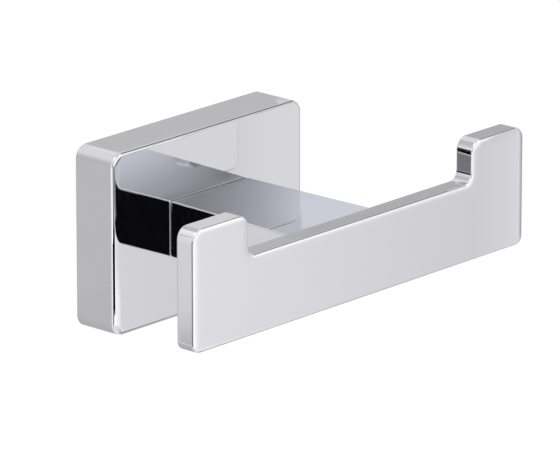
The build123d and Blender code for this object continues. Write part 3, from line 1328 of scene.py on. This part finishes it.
CARDS = (
    # Sweep that the fronts show, a little darker to the right, with a glow to its left and above it
    ReflectionCard(
        "front_sweep", OFF_FRONTS, NEAR, sides=(-190, -13), ends=(-35, 140), across=SWEEP,
        upwards=((-8, 0.99), (0, 1.0), (40, 1.0), (60, 1.28), (85, 1.6)),
    ),
    ReflectionCard(
        "front_sweep_right", OFF_FRONTS, NEAR, sides=(-13, 85), ends=(-35, 140),
        across=((-13, 0.915), (-8, 0.9), (4, 1.0), (20, 1.01), (34, 0.72), (62, 0.48)),
    ),
    ReflectionCard(
        "lower_glow", OFF_FRONTS, NEAR - 2, sides=(-190, -34), ends=(-30, -11),
        across=SWEEP[:-1] + ((-42, 1.0), (-35, 0.9)), upwards=((-18, 1.2), (-11, 1.0)),
    ),
    # Grey sheet that the left sides show, fading upwards into the white room
    ReflectionCard(
        "left_sheet", OFF_LEFT_SIDES, 900, sides=(-240, 180), ends=(-66, 1100),
        across=((36, 0.70), (50, 1.04)), upwards=((120, 1.0), (330, 0.95), (520, 1.02), (1100, 1.43)),
    ),
    ReflectionCard(
        "left_end_sheet", OFF_LEFT_SIDES, 880, sides=(46, 70), ends=(-60, 40),
        upwards=((-24, 0.67), (-16, 0.81), (-10, 0.9), (-4, 0.94)),
    ),
    # Small dark flags in the gap behind and under the bar's left half, which the arm's side shows
    ReflectionCard("tab_gap_flag", (-90, 0), 46, (17, 46.3), (-26, -6), BLACK, tint=BLACK_TINT),
    ReflectionCard("bar_skirt_flag", (0, 0), 46.3, (-47, -12), (-26, -7.95), BLACK, tint=BLACK_TINT),
    # Narrow dark card beside the bar's left end, which draws a line down its front edge
    ReflectionCard("bar_edge_flag", (-90, 0), 62, (39.5, 56), (-15, 14), even(0.1)),
    # Pale sheet that the arm's side shows near the bar
    ReflectionCard("arm_side_sheet", OFF_LEFT_SIDES, 880, (-50, -21), (-60, 60), even(0.92)),
    # Grey under and behind, which the lower corners of the left sides show
    ReflectionCard(
        "lower_back_sheet", (180, -40), NEAR, sides=(-260, 322), ends=(-115, 70),
        across=((-250, 0.5), (100, 0.62), (320, 0.68)),
    ),
    # Bright strip beside the camera, which draws the line where the arm meets the rosette
    ReflectionCard("side_strip", (-72, -16), FAR, (-100, 138), (-80, 80), even(2.0)),
    # Grey behind on the left, which draws a line down the back edges
    ReflectionCard("back_left_sheet", (-166, -17), FAR, (-250, 180), (-100, 250), even(0.45)),
    # Greys that the tops show, each fading into the white room along the rounded corners beside it
    ReflectionCard(
        "bar_top_sheet", OFF_TOPS, NEAR, sides=(-110, -2), ends=(21, 160),
        across=((-22, 0.565), (-12, 0.62)), upwards=((45, 1.0), (160, 1.5)), roll=BAR_SLANT,
    ),
    ReflectionCard("tab_top_sheet", OFF_TOPS, NEAR, (-2, 30), (26, 45), even(0.86), roll=BAR_SLANT),
    ReflectionCard(
        "tab_corner_sheet", OFF_TOPS, NEAR - 6, sides=(40, 290), ends=(4, 45),
        across=((40, 0.86), (80, 0.93), (150, 1.0), (260, 1.25)), roll=CORNER_SLANT,
    ),
    ReflectionCard(
        "tab_corner_glow", (180, 46), 76, sides=(-20, 130), ends=(30, 80),
        across=((40, 0.72), (55, 1.25), (110, 1.1)),
    ),
    ReflectionCard(
        "arm_top_sheet", OFF_TOPS, NEAR - 2, sides=(-60, -17), ends=(13.5, 24.5),
        across=((-34, 0.9), (-22, 0.88)), roll=BAR_SLANT, tint=TOP_TINT,
    ),
    ReflectionCard(
        "arm_corner_sheet", OFF_TOPS, NEAR - 4, (-26.4, -16), (11.5, 18), even(0.69), tint=TOP_TINT
    ),
    ReflectionCard("rosette_top_sheet", OFF_TOPS, NEAR, (-40, 40), (-10, 17.5), even(0.65), roll=BAR_SLANT),
    ReflectionCard(
        "rosette_corner_sheet", OFF_TOPS, NEAR - 6, sides=(31, 290), ends=(-45, 3),
        across=((31, 0.66), (90, 0.82), (200, 0.97)), roll=CORNER_SLANT,
    ),
    # Dim bands that the arm's top and the rosette's front show by way of each other
    ReflectionCard(
        "arm_band", OFF_TOPS_AND_FRONTS, NEAR, sides=(-28, 60), ends=(-2, 28),
        across=((-21, 0.41), (-12, 0.50), (-6, 0.60), (0, 0.74), (6, 0.94), (9, 1.03)),
        upwards=((-2, 0.92), (4, 1.0), (10, 1.1)), roll=-BAR_SLANT, tint=BAND_TINT,
    ),
    ReflectionCard(
        "rosette_band", OFF_TOPS_AND_FRONTS, NEAR, sides=(-50, 60), ends=(-40, -2),
        across=((-27, 1.02), (-18, 0.94), (-12, 0.82), (-5, 0.6)),
        upwards=((-15.5, 1.12), (-12.5, 1.02), (-9.5, 0.86), (-6.5, 0.73), (-3.5, 0.64)),
        roll=-BAR_SLANT, tint=BAND_TINT,
    ),
    # White sheet above the sweep, on its left
    ReflectionCard(
        "upper_sweep", OFF_TOPS_AND_FRONTS, NEAR, sides=(-170, -28), ends=(-2, 110),
        across=((-48, 1.7), (-28, 1.0)), roll=-BAR_SLANT,
    ),
    # Lit panel behind on the right, and the dark beside it
    ReflectionCard("back_panel", OFF_TWO_FRONTS, NEAR, (-140, -38), (-28, 34), even(1.47), tint=PANEL_TINT),
    ReflectionCard("back_dark", OFF_TWO_FRONTS, NEAR + 10, (-36, 10), (-28, 34), even(0.37)),
    # Greys that draw a line down the right edges and along the lower ones
    ReflectionCard(
        "right_sheet", (97, -17), NEAR, sides=(-160, 160), ends=(-60, 70),
        across=((-100, 0.5), (-60, 0.8), (-12, 1.4)),
    ),
    ReflectionCard(
        "lower_sheet", (88, -45), 260, sides=(-290, 150), ends=(-75, 75),
        across=((-262, 0.9), (-245, 0.4), (-225, 0.12), (-200, 0.15), (-180, 0.7)),
    ),
    # Narrow dark beside the camera
    ReflectionCard("narrow_flag", (-44, 0), FAR, (-140, -40), (-90, 290), BLACK, tint=BLACK_TINT),
    # Low strip light in front
    ReflectionCard("front_strip", (4.5, -6), FAR, (-270, 400), (-210, 240), even(1.7)),
    # Dark flag above on the right
    ReflectionCard("upper_flag", (92, 44), FAR, (-330, 60), (-145, 110), even(0.12)),
)


@dataclass(frozen=True)
class PhotoCamera:
    """Camera at the photograph's place."""

    azimuth: float = -47.7355
    elevation: float = 17.2486
    target: tuple[float, float, float] = (31.6817, 0.0, -11.02)
    distance: float = 1322.476
    focal_pixels: float = 6600.0
    image_width: float = 560.0
    sensor_width: float = 36.0
    clip_m: Point = (0.05, 50.0)

    def build(self) -> bpy.types.Object:
        """Builds the camera and makes it the scene's own.

        Returns:
            The camera.
        """
        data = bpy.data.cameras.new("photo_camera")
        data.sensor_fit = "HORIZONTAL"
        data.sensor_width = self.sensor_width
        data.lens = self.focal_pixels * self.sensor_width / self.image_width
        data.clip_start, data.clip_end = self.clip_m
        camera = add_object("photo_camera", data)
        face_inwards(camera, direction(self.azimuth, self.elevation), self.distance, self.target)
        bpy.context.scene.camera = camera
        return camera


@dataclass(frozen=True)
class Studio:
    """White room: floor, soft light from all round, one large soft lamp and the reflection cards."""

    floor_level: float = -340.0
    floor_half: float = 8000.0
    floor_colour: str = "#F1F1F0"
    floor_roughness: Point = (0.85, 0.95)
    floor_mottle_mm: float = 40.0
    floor_octaves: float = 3.0
    floor_lift: float = 0.24
    room_light: float = 0.85
    lamp_azimuth: float = -80.0
    lamp_elevation: float = 62.0
    lamp_distance: float = 1400.0
    lamp_size: float = 780.0
    lamp_brightness: float = 1.6

    def seen_directly(self, tree: bpy.types.NodeTree) -> bpy.types.NodeSocket:
        """Adds a switch that is 1 for the camera and for reflections, and 0 where light falls on things.

        Args:
            tree: node tree that gets the switch.

        Returns:
            Socket with the switch.
        """
        path = add_node(tree, "ShaderNodeLightPath")
        shown = path.outputs["Is Camera Ray"]
        for kind in ("Is Glossy Ray", "Is Transmission Ray"):
            inputs = {0: shown, 1: path.outputs[kind]}
            shown = add_node(tree, "ShaderNodeMath", inputs, operation="MAXIMUM").outputs[0]
        return shown

    def build_room(self) -> None:
        """Builds the white world."""
        world = bpy.data.worlds.new("white_room")
        bpy.context.scene.world = world
        world.use_nodes = True
        tree = world.node_tree
        tree.nodes.clear()
        levels = {"Value": self.seen_directly(tree), "To Min": self.room_light, "To Max": 1.0}
        strength = add_node(tree, "ShaderNodeMapRange", levels).outputs["Result"]
        light = add_node(tree, "ShaderNodeBackground", {"Color": linear(WHITE), "Strength": strength})
        add_node(tree, "ShaderNodeOutputWorld", {"Surface": light.outputs["Background"]})

    def floor_material(self) -> bpy.types.Material:
        """Builds the floor's matt white paint.

        Returns:
            A faintly mottled white that shows as the room does, and lets the view through from below.
        """
        material, tree = new_material("matt_white_floor")
        place = add_node(tree, "ShaderNodeTexCoord").outputs["Object"]
        inputs = {"Vector": place, "Scale": per_metre(self.floor_mottle_mm), "Detail": self.floor_octaves}
        mottle = add_node(tree, "ShaderNodeTexNoise", inputs).outputs["Fac"]
        sleek, rough = self.floor_roughness
        paint = add_node(tree, "ShaderNodeMapRange", {"Value": mottle, "To Min": sleek, "To Max": rough})
        shown = {0: self.seen_directly(tree), 1: self.floor_lift}
        lift = add_node(tree, "ShaderNodeMath", shown, operation="MULTIPLY")
        shader = add_node(
            tree,
            "ShaderNodeBsdfPrincipled",
            {
                "Base Color": linear(self.floor_colour),
                "Roughness": paint.outputs["Result"],
                "Emission Color": linear(WHITE),
                "Emission Strength": lift.outputs[0],
            },
        )
        clear = add_node(tree, "ShaderNodeBsdfTransparent")
        under = add_node(tree, "ShaderNodeNewGeometry").outputs["Backfacing"]
        layers = {0: under, 1: shader.outputs["BSDF"], 2: clear.outputs["BSDF"]}
        sheet = add_node(tree, "ShaderNodeMixShader", layers)
        add_node(tree, "ShaderNodeOutputMaterial", {"Surface": sheet.outputs["Shader"]})
        return material

    def build_floor(self) -> bpy.types.Object:
        """Builds the pale floor, which keeps the hook's shadow."""
        corners = [(x * self.floor_half, y * self.floor_half) for x, y in SQUARE]
        return stage_sheet("floor", corners, self.floor_level, self.floor_material())

    def build_lamp(self) -> bpy.types.Object:
        """Builds the large soft lamp, high on the left.

        Returns:
            The lamp.
        """
        data = bpy.data.lights.new("soft_lamp", "AREA")
        data.shape = "SQUARE"
        data.size = self.lamp_size * MM
        data.energy = self.lamp_brightness * math.pi * data.size**2
        lamp = add_object("soft_lamp", data)
        face_inwards(lamp, direction(self.lamp_azimuth, self.lamp_elevation), self.lamp_distance)
        return lamp

    def build(self) -> None:
        """Builds the whole room."""
        self.build_room()
        self.build_floor()
        self.build_lamp()
        for card in CARDS:
            card.build()
        bpy.context.scene.view_settings.view_transform = "Standard"
        LOG.info("studio: floor, lamp and %d cards", len(CARDS))


def main() -> None:
    """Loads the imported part, builds each piece around it and sets up the studio."""
    logging.basicConfig(level=logging.INFO, format="%(message)s")
    for leftover in list(bpy.data.objects):
        bpy.data.objects.remove(leftover)
    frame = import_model()
    LOG.info("loaded %d nodes", len(frame["nodes"]))
    HookCasting.from_frame().build(BrightChrome())
    RosetteShell.from_frame().build(BrightChrome(), HOLLOW_PLATE)
    DovetailBracket.from_frame().build(CAST_ZINC)
    ArmScrews.from_frame().build(PLATED_STEEL)
    SetScrew.from_frame().build(STAINLESS_STEEL)
    Studio().build()
    PhotoCamera().build()
    bpy.context.view_layer.update()


if __name__ == "__main__":
    main()
